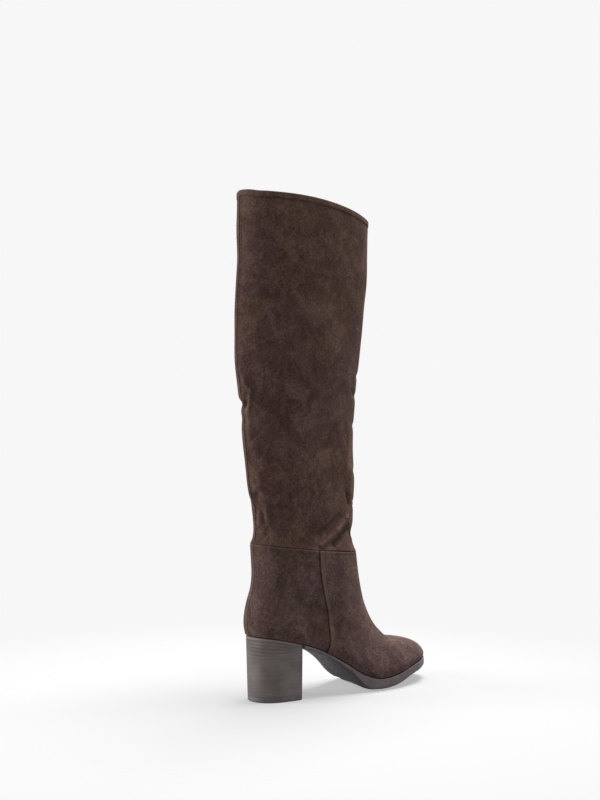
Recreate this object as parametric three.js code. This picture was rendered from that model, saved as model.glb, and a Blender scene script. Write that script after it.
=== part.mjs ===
// Knee-high boot for the right foot, with a block heel.
//
// Frame, in millimetres: X runs from heel to toe, Y to the inner (medial) side of the
// foot, Z up. The origin is the centre of the heel's bottom face, on the floor.
//
// Every ring of points goes once round the boot: turn 0 is the centre back, 0.25 the
// outer (lateral) side, 0.5 the toe or the front of the leg, and 0.75 the inner side.

import * as THREE from 'three';

// ---------------------------------------------------------------- driving dimensions

const GAP = 0.3;                  // clearance between neighbouring pieces
const UPPER_WALL = 2.0;           // suede, lining and stiffener of the foot part
const SHAFT_WALL = 1.8;           // suede and lining of the leg
const INSOLE_THICKNESS = 2.6;
const SOLE_CLEARANCE = 0.36;      // from the outsole's top up to the foot part
const INSOLE_LIFT = 0.35;         // further clearance over the outsole's curve
const TOP_PIECE_THICKNESS = 5.0;  // wearing layer under the heel

const BREAST_X = 22.0;            // flat front face of the heel
const SOLE_MARGIN = 0.8;          // how far the outsole stands out past the upper
const CAMBER_WIDTH = 10.0;        // how far in from its edge the outsole's bottom curves up
const CAMBER_LIFT = 2.6;          // how far the curve lifts it by the edge
const SIDE_LIFT = 3.4;            // where the outsole's upright side begins
const LIFT_SHARE = 0.45;          // most of the sole's thickness that the curve may take
const TUCK = 11.0;                // how far the leg reaches down inside the foot part

const RING_POINTS = 56;           // facets round the foot part, the insole and the heel
const TOE_CROWDING = 0.45;        // how much closer the points lie at the toe
const SHAFT_POINTS = 40;          // facets round the leg
const FOOT_STEPS = 20;            // facets from the feather line to the ankle seam
const SHAFT_STEPS = 14;           // facets from the tucked edge to the collar
const SOLE_STATIONS = 36;         // stations along the outsole
const TURN_STEP = 0.004;          // step for reading a direction off a curve

// The heel's length and width as shares of the footprint behind the breast.
const HEEL_TOP = { length: 1.0, width: 0.93 };
const HEEL_BOTTOM = { length: 0.955, width: 0.9 };

// The feather line in plan, where the upper meets the sole.
const FOOTPRINT = [
  { turn: 0.00, x: -25.5, y: 0.0 },
  { turn: 0.05, x: -21.5, y: -13.5 },
  { turn: 0.10, x: -10.0, y: -22.5 },
  { turn: 0.16, x: 9.0, y: -26.5 },
  { turn: 0.25, x: 52.0, y: -29.0 },
  { turn: 0.32, x: 88.0, y: -35.5 },
  { turn: 0.38, x: 121.0, y: -40.5 },
  { turn: 0.43, x: 155.0, y: -36.5 },
  { turn: 0.47, x: 187.0, y: -23.5 },
  { turn: 0.485, x: 201.0, y: -11.5 },
  { turn: 0.50, x: 207.5, y: 4.0 },
  { turn: 0.515, x: 204.0, y: 18.0 },
  { turn: 0.53, x: 195.0, y: 28.0 },
  { turn: 0.57, x: 168.0, y: 38.0 },
  { turn: 0.62, x: 134.0, y: 40.0 },
  { turn: 0.68, x: 98.0, y: 30.0 },
  { turn: 0.715, x: 77.0, y: 23.5 },
  { turn: 0.75, x: 56.0, y: 21.5 },
  { turn: 0.84, x: 10.0, y: 25.5 },
  { turn: 0.90, x: -10.0, y: 22.5 },
  { turn: 0.95, x: -21.5, y: 13.5 },
];

// Height of the feather line along the foot: heel seat, arch, ball and toe spring.
const SEAT = [
  { x: -30, z: 65.0 },
  { x: -10, z: 62.6 },
  { x: 12, z: 57.6 },
  { x: 32, z: 51.6 },
  { x: 52, z: 43.2 },
  { x: 72, z: 31.8 },
  { x: 92, z: 19.2 },
  { x: 110, z: 12.8 },
  { x: 127, z: 12.4 },
  { x: 143, z: 15.0 },
  { x: 158, z: 18.1 },
  { x: 174, z: 21.2 },
  { x: 190, z: 22.5 },
  { x: 211, z: 23.9 },
];

// How much higher the feather line runs on the inner side, under the foot's arch.
const ARCH = [
  { x: 22, z: 0.0 },
  { x: 37, z: 1.1 },
  { x: 53, z: 2.8 },
  { x: 68, z: 3.5 },
  { x: 82, z: 2.5 },
  { x: 96, z: 0.8 },
  { x: 110, z: 0.0 },
  { x: 211, z: 0.0 },
];

// Underside of the outsole: thin through the arch, flat under the ball, lifted at the toe.
const UNDERSIDE = [
  { x: 22, z: 51.0 },
  { x: 40, z: 44.9 },
  { x: 60, z: 35.2 },
  { x: 76, z: 23.4 },
  { x: 86, z: 14.2 },
  { x: 92, z: 8.0 },
  { x: 98, z: 3.4 },
  { x: 105, z: 1.3 },
  { x: 112, z: 0.6 },
  { x: 119, z: 0.0 },
  { x: 131, z: 0.0 },
  { x: 142, z: 1.6 },
  { x: 152, z: 4.8 },
  { x: 164, z: 8.8 },
  { x: 180, z: 12.8 },
  { x: 211, z: 16.4 },
];

// How much higher the underside runs on the inner side, up to where the ball rests.
const UNDERSIDE_TWIST = [
  { x: 22, z: 0.0 },
  { x: 36, z: 1.4 },
  { x: 50, z: 3.4 },
  { x: 66, z: 4.6 },
  { x: 80, z: 5.0 },
  { x: 92, z: 5.4 },
  { x: 99, z: 6.0 },
  { x: 106, z: 5.0 },
  { x: 113, z: 2.6 },
  { x: 119, z: 0.0 },
  { x: 211, z: 0.0 },
];

// Sections of the foot part, evenly spaced from the feather line up to the ankle seam.
// back and front are the section's two ends in side view, outer and inner its half
// widths. shape goes from 1, the footprint's outline, to 0, the leg's ellipse, and dip
// lowers the middle of the section.
const FOOT_SECTIONS = [
  { backX: -25.5, backZ: 64.3, frontX: 207.5, frontZ: 23.7, outer: 41.0, inner: 40.0, shape: 1.00, dip: 0.0 },
  { backX: -27.5, backZ: 76.0, frontX: 206.4, frontZ: 30.6, outer: 42.5, inner: 41.5, shape: 0.97, dip: 0.0 },
  { backX: -27.2, backZ: 88.0, frontX: 197.0, frontZ: 39.1, outer: 40.5, inner: 39.5, shape: 0.90, dip: 0.0 },
  { backX: -24.5, backZ: 100.0, frontX: 179.5, frontZ: 45.1, outer: 38.5, inner: 38.0, shape: 0.78, dip: 0.0 },
  { backX: -20.8, backZ: 112.0, frontX: 156.6, frontZ: 48.4, outer: 37.0, inner: 36.5, shape: 0.55, dip: 0.0 },
  { backX: -19.2, backZ: 123.0, frontX: 135.3, frontZ: 62.5, outer: 36.0, inner: 36.0, shape: 0.30, dip: 0.5 },
  { backX: -19.2, backZ: 134.0, frontX: 119.8, frontZ: 86.0, outer: 35.5, inner: 35.5, shape: 0.12, dip: 1.0 },
  { backX: -20.0, backZ: 145.0, frontX: 111.6, frontZ: 113.0, outer: 35.0, inner: 35.0, shape: 0.04, dip: 1.6 },
  { backX: -20.8, backZ: 156.0, frontX: 106.2, frontZ: 144.3, outer: 35.0, inner: 35.0, shape: 0.00, dip: 2.0 },
];

// Level sections of the leg: an ellipse with its centre on X and two half widths.
const LEG_SECTIONS = [
  { z: 130, centre: 41.9, halfLength: 58.2, halfWidth: 32.0 },
  { z: 149, centre: 41.9, halfLength: 58.4, halfWidth: 32.3 },
  { z: 176, centre: 42.5, halfLength: 59.2, halfWidth: 33.0 },
  { z: 217, centre: 39.6, halfLength: 64.3, halfWidth: 34.5 },
  { z: 260, centre: 36.6, halfLength: 65.8, halfWidth: 34.5 },
  { z: 301, centre: 34.8, halfLength: 70.3, halfWidth: 35.5 },
  { z: 342, centre: 35.8, halfLength: 75.3, halfWidth: 37.0 },
  { z: 383, centre: 38.0, halfLength: 77.3, halfWidth: 38.0 },
  { z: 440, centre: 42.5, halfLength: 79.3, halfWidth: 39.0 },
  { z: 505, centre: 43.6, halfLength: 79.8, halfWidth: 39.0 },
];

// Height of the collar along the boot: a small peak at the back seam, then a long dip.
const COLLAR = [
  { x: -36.3, z: 505.2 },
  { x: -34, z: 504.7 },
  { x: -29, z: 503.3 },
  { x: -20, z: 502.6 },
  { x: 10, z: 501.4 },
  { x: 33, z: 500.1 },
  { x: 60, z: 497.5 },
  { x: 82, z: 494.8 },
  { x: 102, z: 492.1 },
  { x: 123, z: 491.0 },
];

const TOE_X = 207.5;
const BALL_HALF_WIDTH = { outer: 40.5, inner: 40.0 };
const OUTER_EDGE_Y = -30.0;       // where the inner side's extra height starts from
const WAIST_WIDTH = 55.0;         // width over which it is reached

// ---------------------------------------------------------------- curves through tables

// A smooth curve through the rows of a table, read at one place. A closed table repeats
// after a period of 1 in its key column.
function readCurve(table, key, column, at, closed = false) {
  const rows = closed ? wrapRows(table, key) : table;
  const place = closed ? at - Math.floor(at) : at;
  const last = rows.length - 1;
  const clamped = Math.min(Math.max(place, rows[0][key]), rows[last][key]);
  let i = 0;
  while (i < last - 1 && rows[i + 1][key] <= clamped) i += 1;
  const span = rows[i + 1][key] - rows[i][key];
  const t = (clamped - rows[i][key]) / span;
  const startSlope = slopeAt(rows, key, column, i);
  const endSlope = slopeAt(rows, key, column, i + 1);
  const t2 = t * t;
  const t3 = t2 * t;
  return (2 * t3 - 3 * t2 + 1) * rows[i][column]
    + (t3 - 2 * t2 + t) * span * startSlope
    + (3 * t2 - 2 * t3) * rows[i + 1][column]
    + (t3 - t2) * span * endSlope;
}

function wrapRows(table, key) {
  const shifted = (row, turns) => ({ ...row, [key]: row[key] + turns });
  const before = table.slice(-2).map((row) => shifted(row, -1));
  const after = table.slice(0, 3).map((row) => shifted(row, 1));
  return [...before, ...table, ...after];
}

function slopeAt(rows, key, column, i) {
  const chord = (a, b) => (rows[b][column] - rows[a][column]) / (rows[b][key] - rows[a][key]);
  if (i === 0) return chord(0, 1);
  if (i === rows.length - 1) return chord(i - 1, i);
  const before = rows[i][key] - rows[i - 1][key];
  const after = rows[i + 1][key] - rows[i][key];
  return (chord(i - 1, i) * after + chord(i, i + 1) * before) / (before + after);
}

const acrossWaist = (y) => (y - OUTER_EDGE_Y) / WAIST_WIDTH;
const seatHeight = (x, y = 0) => (
  readCurve(SEAT, 'x', 'z', x) + acrossWaist(y) * readCurve(ARCH, 'x', 'z', x)
);
const undersideHeight = (x, y) => Math.max(0, (
  readCurve(UNDERSIDE, 'x', 'z', x) + acrossWaist(y) * readCurve(UNDERSIDE_TWIST, 'x', 'z', x)
));
const collarHeight = (x) => readCurve(COLLAR, 'x', 'z', x);

function footprint(turn) {
  return new THREE.Vector2(
    readCurve(FOOTPRINT, 'turn', 'x', turn, true),
    readCurve(FOOTPRINT, 'turn', 'y', turn, true),
  );
}

// The footprint moved outwards by a margin, or inwards by a negative one.
function offsetFootprint(turn, margin) {
  const along = footprint(turn + TURN_STEP).sub(footprint(turn - TURN_STEP)).normalize();
  return footprint(turn).add(new THREE.Vector2(along.y, -along.x).multiplyScalar(margin));
}

// The turn at which the footprint reaches x, on the way from the back end to the toe.
function turnAtX(x, backTurn) {
  let low = backTurn;
  let high = 0.5;
  for (let i = 0; i < 40; i += 1) {
    const middle = (low + high) / 2;
    if (footprint(middle).x < x) low = middle;
    else high = middle;
  }
  return (low + high) / 2;
}

// ---------------------------------------------------------------- surfaces of the boot

const FOOT_TABLE = FOOT_SECTIONS.map((section, i) => (
  { ...section, rise: i / (FOOT_SECTIONS.length - 1) }
));

// Outside of the foot part. rise goes from 0 at the feather line to 1 at the ankle seam.
function footSurface(rise, turn) {
  const read = (column) => readCurve(FOOT_TABLE, 'rise', column, rise);
  const shape = read('shape');
  const plan = footprint(turn);
  const planWidth = plan.y < 0 ? BALL_HALF_WIDTH.outer : BALL_HALF_WIDTH.inner;
  const backEnd = FOOTPRINT[0].x;
  const alongFoot = (plan.x - backEnd) / (TOE_X - backEnd);
  const alongLeg = (1 - Math.cos(2 * Math.PI * turn)) / 2;
  const acrossLeg = -Math.sin(2 * Math.PI * turn);
  const along = THREE.MathUtils.lerp(alongLeg, alongFoot, shape);
  const across = THREE.MathUtils.lerp(acrossLeg, plan.y / planWidth, shape);
  const backLift = read('backZ') - shape * seatHeight(backEnd);
  const frontLift = read('frontZ') - shape * seatHeight(TOE_X);
  return new THREE.Vector3(
    THREE.MathUtils.lerp(read('backX'), read('frontX'), along),
    across * (across < 0 ? read('outer') : read('inner')),
    shape * seatHeight(plan.x, plan.y) + THREE.MathUtils.lerp(backLift, frontLift, along)
      - read('dip') * 4 * along * (1 - along),
  );
}

// Outside of the leg. rise goes from 0 at the tucked lower edge to 1 at the collar.
function legSurface(rise, turn) {
  const seam = footSurface(1, turn);
  const level = THREE.MathUtils.lerp(seam.z - TUCK, collarHeight(seam.x), rise);
  const read = (column) => readCurve(LEG_SECTIONS, 'z', column, level);
  const x = read('centre') - read('halfLength') * Math.cos(2 * Math.PI * turn);
  const y = -read('halfWidth') * Math.sin(2 * Math.PI * turn);
  return new THREE.Vector3(x, y, THREE.MathUtils.lerp(seam.z - TUCK, collarHeight(x), rise));
}

// The same surface moved inwards by the wall's thickness.
function insideOf(surface, wall) {
  return (rise, turn) => {
    const low = Math.max(rise - TURN_STEP, 0);
    const high = Math.min(rise + TURN_STEP, 1);
    const up = surface(high, turn).sub(surface(low, turn));
    const round = surface(rise, turn + TURN_STEP).sub(surface(rise, turn - TURN_STEP));
    return surface(rise, turn).addScaledVector(round.cross(up).normalize(), -wall);
  };
}

// ---------------------------------------------------------------- closed meshes

// Draws evenly spaced fractions together in the middle of their run, which is the toe.
function crowdToe(even) {
  return even + TOE_CROWDING * Math.sin(2 * Math.PI * even) / (2 * Math.PI);
}

// Turns are read half a step off the centre back, so that points pair across the foot.
function ring(points, pointAt) {
  return Array.from({ length: points }, (_, i) => pointAt((i + 0.5) / points));
}

const footRing = (pointAt) => ring(RING_POINTS, (even) => pointAt(crowdToe(even)));

function closedGeometry(vertices, triangles) {
  const geometry = new THREE.BufferGeometry().setFromPoints(vertices);
  geometry.setIndex(triangles);
  geometry.computeVertexNormals();
  return geometry;
}

function bandBetween(lower, upper, count, triangles) {
  for (let i = 0; i < count; i += 1) {
    const next = (i + 1) % count;
    triangles.push(lower + i, lower + next, upper + next);
    triangles.push(lower + i, upper + next, upper + i);
  }
}

// A hollow sleeve: up the outside, over the rim, down the inside and back underneath.
function sleeve(outerRings, innerRings) {
  const rings = [...outerRings, ...innerRings.slice().reverse()];
  const count = rings[0].length;
  const triangles = [];
  rings.forEach((_, i) => {
    bandBetween(i * count, ((i + 1) % rings.length) * count, count, triangles);
  });
  return closedGeometry(rings.flat(), triangles);
}

// A solid slab from rings stacked upwards, closed by strips from outer to inner side.
function slab(rings) {
  const count = rings[0].length;
  const top = (rings.length - 1) * count;
  const triangles = [];
  for (let i = 0; i < rings.length - 1; i += 1) {
    bandBetween(i * count, (i + 1) * count, count, triangles);
  }
  for (let i = 0; i < Math.floor((count - 1) / 2); i += 1) {
    const far = count - 1 - i;
    triangles.push(top + i, top + i + 1, top + far);
    triangles.push(i, far, i + 1);
    if (far - 1 > i + 1) {
      triangles.push(top + i + 1, top + far - 1, top + far);
      triangles.push(i + 1, far, far - 1);
    }
  }
  return closedGeometry(rings.flat(), triangles);
}

// ---------------------------------------------------------------- pieces

function makeUpper() {
  const rises = Array.from({ length: FOOT_STEPS + 1 }, (_, i) => i / FOOT_STEPS);
  const inside = insideOf(footSurface, UPPER_WALL);
  const outer = rises.map((rise) => footRing((turn) => footSurface(rise, turn)));
  const inner = rises.map((rise) => footRing((turn) => inside(rise, turn)));
  [outer[0], inner[0]].forEach((edge) => edge.forEach((point) => {
    point.z = seatHeight(point.x, point.y);
  }));
  inner[FOOT_STEPS].forEach((point, i) => {
    point.z = outer[FOOT_STEPS][i].z;
  });
  return sleeve(outer, inner);
}

function makeShaft() {
  const rises = Array.from({ length: SHAFT_STEPS + 1 }, (_, i) => i / SHAFT_STEPS);
  const inside = insideOf(legSurface, SHAFT_WALL);
  const outer = rises.map((rise) => ring(SHAFT_POINTS, (turn) => legSurface(rise, turn)));
  const inner = rises.map((rise) => ring(SHAFT_POINTS, (turn) => inside(rise, turn)));
  return sleeve(outer, inner);
}

function makeInsole() {
  const margin = -(UPPER_WALL + GAP);
  const level = (lift) => footRing((turn) => {
    const plan = offsetFootprint(turn, margin);
    return new THREE.Vector3(plan.x, plan.y, seatHeight(plan.x, plan.y) + lift);
  });
  return slab([level(INSOLE_LIFT), level(INSOLE_LIFT + INSOLE_THICKNESS)]);
}

function makeOutsole() {
  const start = turnAtX(BREAST_X + GAP, 0);
  const end = turnAtX(BREAST_X + GAP, 1);
  const turns = Array.from({ length: 2 * SOLE_STATIONS + 1 }, (_, i) => (
    THREE.MathUtils.lerp(start, end, crowdToe(i / (2 * SOLE_STATIONS)))
  ));
  const edge = (margin, heightAt) => turns.map((turn) => {
    const plan = offsetFootprint(turn, margin);
    plan.x = Math.max(plan.x, BREAST_X + GAP);
    return new THREE.Vector3(plan.x, plan.y, heightAt(plan.x, plan.y));
  });
  const top = (x, y) => seatHeight(x, y) - SOLE_CLEARANCE;
  const lifted = (lift) => (x, y) => {
    const thickness = top(x, y) - undersideHeight(x, y);
    return undersideHeight(x, y) + Math.min(lift, LIFT_SHARE * thickness);
  };
  return slab([
    edge(SOLE_MARGIN - CAMBER_WIDTH, undersideHeight),
    edge(SOLE_MARGIN - CAMBER_LIFT / 2, lifted(CAMBER_LIFT)),
    edge(SOLE_MARGIN, lifted(SIDE_LIFT)),
    edge(SOLE_MARGIN, top),
  ]);
}

// One level outline of the heel. drop goes from 0 at its top to 1 at the floor.
function heelOutline(drop, heightAt) {
  const start = turnAtX(BREAST_X, 1) - 1;
  const end = turnAtX(BREAST_X, 0);
  const count = RING_POINTS / 2;
  const length = THREE.MathUtils.lerp(HEEL_TOP.length, HEEL_BOTTOM.length, drop);
  const width = THREE.MathUtils.lerp(HEEL_TOP.width, HEEL_BOTTOM.width, drop);
  return Array.from({ length: count }, (_, i) => {
    const plan = footprint(THREE.MathUtils.lerp(start, end, i / (count - 1)));
    const x = BREAST_X - (BREAST_X - plan.x) * length;
    return new THREE.Vector3(x, plan.y * width, heightAt(x));
  });
}

const dropAtHeight = (z) => 1 - z / seatHeight(0);

function makeHeel() {
  const bottom = TOP_PIECE_THICKNESS + GAP;
  return slab([
    heelOutline(dropAtHeight(bottom), () => bottom),
    heelOutline(0, (x) => seatHeight(x) - GAP),
  ]);
}

function makeTopPiece() {
  return slab([
    heelOutline(1, () => 0),
    heelOutline(dropAtHeight(TOP_PIECE_THICKNESS), () => TOP_PIECE_THICKNESS),
  ]);
}

// ---------------------------------------------------------------- the assembly

const FINISHES = {
  suede: { color: 0x4a3a33, roughness: 0.95, metalness: 0 },
  lining: { color: 0x6b5a4c, roughness: 0.85, metalness: 0 },
  rubber: { color: 0x4b4343, roughness: 0.7, metalness: 0 },
  stackedHeel: { color: 0x5a5252, roughness: 0.45, metalness: 0 },
};

function piece(name, geometry, finish) {
  const mesh = new THREE.Mesh(geometry, new THREE.MeshStandardMaterial(FINISHES[finish]));
  mesh.name = name;
  return mesh;
}

const boot = new THREE.Group();
boot.add(
  piece('upper', makeUpper(), 'suede'),
  piece('shaft', makeShaft(), 'suede'),
  piece('insole', makeInsole(), 'lining'),
  piece('outsole', makeOutsole(), 'rubber'),
  piece('heel', makeHeel(), 'stackedHeel'),
  piece('heel_top_piece', makeTopPiece(), 'rubber'),
);

export default boot;
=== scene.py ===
"""A right-foot knee-high suede boot with a block heel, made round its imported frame.

The boot's own frame is used throughout: X from heel to toe, Y to the inner (medial)
side of the foot, Z up, with the origin in the middle of the heel's bottom face.
Shapes are worked out in millimetres, as a pattern cutter writes them, and scaled to
metres when a mesh is made.

Every section goes once round the boot: turn 0 is the centre back, 0.25 the outer side,
0.5 the toe or the front of the leg, and 0.75 the inner side.
"""

import math

import bpy
import numpy as np
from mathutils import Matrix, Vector


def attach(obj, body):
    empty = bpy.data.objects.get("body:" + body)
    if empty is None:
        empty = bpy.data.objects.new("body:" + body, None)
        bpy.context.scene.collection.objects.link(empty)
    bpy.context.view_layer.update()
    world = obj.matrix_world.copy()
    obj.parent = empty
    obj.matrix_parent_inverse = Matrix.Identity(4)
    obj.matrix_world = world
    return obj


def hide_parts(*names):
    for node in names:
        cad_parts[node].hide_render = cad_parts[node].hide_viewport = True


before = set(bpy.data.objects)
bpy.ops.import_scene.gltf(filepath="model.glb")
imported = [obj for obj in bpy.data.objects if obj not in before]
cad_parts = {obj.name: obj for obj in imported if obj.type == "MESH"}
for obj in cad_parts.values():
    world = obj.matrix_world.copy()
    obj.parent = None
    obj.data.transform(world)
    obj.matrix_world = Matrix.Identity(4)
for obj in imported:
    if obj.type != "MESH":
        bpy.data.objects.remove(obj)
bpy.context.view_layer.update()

bl_info = {
    "name": "Knee-High Suede Boot",
    "version": (1, 0, 0),
    "blender": (4, 5, 0),
    "location": "View3D > Sidebar > Boot",
    "description": "Makes the suede, seams, folds, sole and heel of a knee-high boot",
    "category": "Object",
}

MM = 0.001
BODY = "root"


# ---------------------------------------------------------------------------
# The last and the leg, in millimetres
# ---------------------------------------------------------------------------

def table(columns, rows):
    """A table as a dictionary of named columns. The first column is its key."""
    return {name: np.array(values, float) for name, values in zip(columns.split(), zip(*rows))}


# The feather line in plan, where the upper meets the sole.
FOOTPRINT = table("turn x y", [
    (0.00, -25.5, 0.0),
    (0.05, -21.5, -13.5),
    (0.10, -10.0, -22.5),
    (0.16, 9.0, -26.5),
    (0.25, 52.0, -29.0),
    (0.32, 88.0, -35.5),
    (0.38, 121.0, -40.5),
    (0.43, 155.0, -36.5),
    (0.47, 187.0, -23.5),
    (0.485, 201.0, -11.5),
    (0.50, 207.5, 4.0),
    (0.515, 204.0, 18.0),
    (0.53, 195.0, 28.0),
    (0.57, 168.0, 38.0),
    (0.62, 134.0, 40.0),
    (0.68, 98.0, 30.0),
    (0.715, 77.0, 23.5),
    (0.75, 56.0, 21.5),
    (0.84, 10.0, 25.5),
    (0.90, -10.0, 22.5),
    (0.95, -21.5, 13.5),
])

# Height of the feather line along the foot: heel seat, arch, ball and toe spring.
SEAT = table("x z", [
    (-30, 65.0), (-10, 62.6), (12, 57.6), (32, 51.6), (52, 43.2), (72, 31.8), (92, 19.2),
    (110, 12.8), (127, 12.4), (143, 15.0), (158, 18.1), (174, 21.2), (190, 22.5), (211, 23.9),
])

# How much higher the feather line runs on the inner side, under the foot's arch.
ARCH = table("x z", [
    (22, 0.0), (37, 1.1), (53, 2.8), (68, 3.5), (82, 2.5), (96, 0.8), (110, 0.0), (211, 0.0),
])

# Underside of the outsole: thin through the arch, flat under the ball, lifted at the toe.
UNDERSIDE = table("x z", [
    (22, 51.0), (40, 44.9), (60, 35.2), (76, 23.4), (86, 14.2), (92, 8.0), (98, 3.4),
    (105, 1.3), (112, 0.6), (119, 0.0), (131, 0.0), (142, 1.6), (152, 4.8), (164, 8.8),
    (180, 12.8), (211, 16.4),
])

# How much higher the underside runs on the inner side, up to where the ball rests.
UNDERSIDE_TWIST = table("x z", [
    (22, 0.0), (36, 1.4), (50, 3.4), (66, 4.6), (80, 5.0), (92, 5.4), (99, 6.0),
    (106, 5.0), (113, 2.6), (119, 0.0), (211, 0.0),
])

# Sections of the foot part, evenly spaced from the feather line up to the ankle seam.
# back and front are the section's two ends in side view, outer and inner its half
# widths. shape goes from 1, the footprint's outline, to 0, the leg's ellipse, and dip
# lowers the middle of the section.
FOOT_SECTIONS = table("rise back_x back_z front_x front_z outer inner shape dip", [
    (0.000, -25.5, 64.3, 207.5, 23.7, 41.0, 40.0, 1.00, 0.0),
    (0.125, -27.5, 76.0, 206.4, 30.6, 42.5, 41.5, 0.97, 0.0),
    (0.250, -27.2, 88.0, 197.0, 39.1, 40.5, 39.5, 0.90, 0.0),
    (0.375, -24.5, 100.0, 179.5, 45.1, 38.5, 38.0, 0.78, 0.0),
    (0.500, -20.8, 112.0, 156.6, 48.4, 37.0, 36.5, 0.55, 0.0),
    (0.625, -19.2, 123.0, 135.3, 62.5, 36.0, 36.0, 0.30, 0.5),
    (0.750, -19.2, 134.0, 119.8, 86.0, 35.5, 35.5, 0.12, 1.0),
    (0.875, -20.0, 145.0, 111.6, 113.0, 35.0, 35.0, 0.04, 1.6),
    (1.000, -20.8, 156.0, 106.2, 144.3, 35.0, 35.0, 0.00, 2.0),
])

# Level sections of the leg: an ellipse with its centre on X and two half widths.
LEG_SECTIONS = table("z centre half_length half_width", [
    (130, 41.9, 58.2, 32.0),
    (149, 41.9, 58.4, 32.3),
    (176, 42.5, 59.2, 33.0),
    (217, 39.6, 64.3, 34.5),
    (260, 36.6, 65.8, 34.5),
    (301, 34.8, 70.3, 35.5),
    (342, 35.8, 75.3, 37.0),
    (383, 38.0, 77.3, 38.0),
    (440, 42.5, 79.3, 39.0),
    (505, 43.6, 79.8, 39.0),
])

# Height of the collar along the boot: a small peak at the back seam, then a long dip.
COLLAR = table("x z", [
    (-36.3, 505.2), (-34, 504.7), (-29, 503.3), (-20, 502.6), (10, 501.4),
    (33, 500.1), (60, 497.5), (82, 494.8), (102, 492.1), (123, 491.0),
])

# The side seam's course from the sole up to the ankle seam, on the outer side.
SIDE_SEAM = table("rise turn", [
    (0.00, 0.2455), (0.13, 0.2510), (0.29, 0.2520), (0.53, 0.2430), (0.68, 0.2345),
    (0.82, 0.2305), (1.00, 0.2305),
])

# The footprint's half widths at the ball and its two ends, and the heel's breast.
BALL_HALF_WIDTH = {"outer": 40.5, "inner": 40.0}
BACK_X = -25.5
TOE_X = 207.5
BREAST_X = 22.0
# The waist: its outer edge and its width.
OUTER_EDGE_Y = -30.0
WAIST_WIDTH = 55.0
# The heel's outline as a share of the footprint's, at the seat and on the floor.
HEEL_TOP = {"length": 1.0, "width": 0.93}
HEEL_BOTTOM = {"length": 0.955, "width": 0.9}

# Soft folds of the leg, each from one place to another, with its width and its depth.
# A trough's depth is negative, a ridge's positive.
LEG_FOLDS = table("from_turn from_z to_turn to_z width depth", [
    # the back gives way half way down the leg
    (-0.090, 297, -0.030, 294, 4.5, -2.4),
    (-0.040, 294, 0.020, 294, 4.2, -2.9),
    (0.016, 294, 0.036, 304, 3.6, -1.7),
    (-0.060, 282, 0.010, 280, 7.0, -1.2),
    (0.014, 330, 0.026, 318, 2.8, 1.2),
    (0.026, 318, 0.036, 312, 2.6, 1.2),
    (0.047, 307, 0.030, 293, 2.8, 1.8),
    (0.030, 293, 0.024, 262, 3.2, 1.3),
    (0.036, 254, 0.050, 246, 4.0, 0.7),
    (0.060, 345, 0.085, 318, 7.0, -0.9),
    (0.080, 300, 0.060, 270, 9.0, -0.8),
    # the back sags over the ankle seam
    (-0.050, 197, 0.010, 191, 4.5, -1.7),
    (0.038, 200, 0.017, 177, 2.8, 1.4),
    (0.028, 206, 0.038, 178, 2.8, -1.3),
    (0.062, 204, 0.052, 178, 4.0, 1.0),
    (0.046, 186, 0.055, 168, 3.2, -1.2),
    (-0.030, 180, -0.010, 168, 4.0, 0.8),
    # the instep pushes the front up into diagonal folds
    (0.385, 195, 0.348, 181, 3.2, 1.8),
    (0.346, 180, 0.304, 169, 3.2, 2.2),
    (0.298, 168, 0.240, 155, 3.2, 2.0),
    (0.362, 170, 0.290, 155, 3.8, -3.0),
    (0.310, 184, 0.235, 167, 5.0, -1.6),
    (0.382, 172, 0.400, 158, 3.0, 1.6),
    (0.500, 163, 0.400, 164, 8.0, -2.2),
    (0.630, 190, 0.700, 168, 4.5, 1.7),
    (0.700, 168, 0.755, 154, 4.5, 1.1),
    (0.640, 164, 0.700, 155, 5.5, -2.0),
    (0.600, 152, 0.620, 168, 3.4, 1.2),
    # dimples and ripples along the front edge
    (0.345, 208, 0.360, 196, 2.8, -1.6),
    (0.372, 230, 0.368, 206, 4.0, 1.2),
    (0.363, 268, 0.352, 232, 8.0, 1.0),
    (0.560, 192, 0.410, 195, 3.6, -1.2),
    (0.530, 226, 0.420, 229, 3.6, -0.8),
    (0.575, 270, 0.400, 277, 4.0, -1.1),
    (0.545, 302, 0.390, 309, 3.8, -1.1),
    (0.590, 328, 0.410, 328, 3.0, -1.1),
    (0.600, 280, 0.680, 262, 8.0, -1.4),
    (0.620, 320, 0.700, 300, 9.0, 1.2),
    # long shallow hollows where the leg hangs slack
    (0.140, 300, 0.240, 262, 20.0, -1.2),
    (0.250, 420, 0.330, 360, 26.0, -1.2),
    (0.110, 440, 0.160, 390, 22.0, -1.0),
    (0.680, 440, 0.780, 380, 26.0, -1.4),
    (0.850, 330, 0.900, 290, 16.0, -1.4),
    (0.180, 210, 0.250, 190, 14.0, 0.9),
    (0.780, 230, 0.860, 200, 14.0, 1.0),
])

# Soft folds of the foot part, placed by turn and by rise from the sole to the ankle.
FOOT_FOLDS = table("from_turn from_rise to_turn to_rise width depth", [
    (0.500, 0.54, 0.440, 0.50, 6.0, -0.9),
    (0.500, 0.54, 0.560, 0.50, 6.0, -0.9),
    (0.330, 0.42, 0.380, 0.30, 9.0, -0.5),
    (0.670, 0.42, 0.620, 0.30, 9.0, -0.5),
    (0.100, 0.70, 0.160, 0.55, 10.0, -0.4),
    (0.900, 0.70, 0.840, 0.55, 10.0, -0.4),
])


# ---------------------------------------------------------------------------
# Curves through tables
# ---------------------------------------------------------------------------

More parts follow.
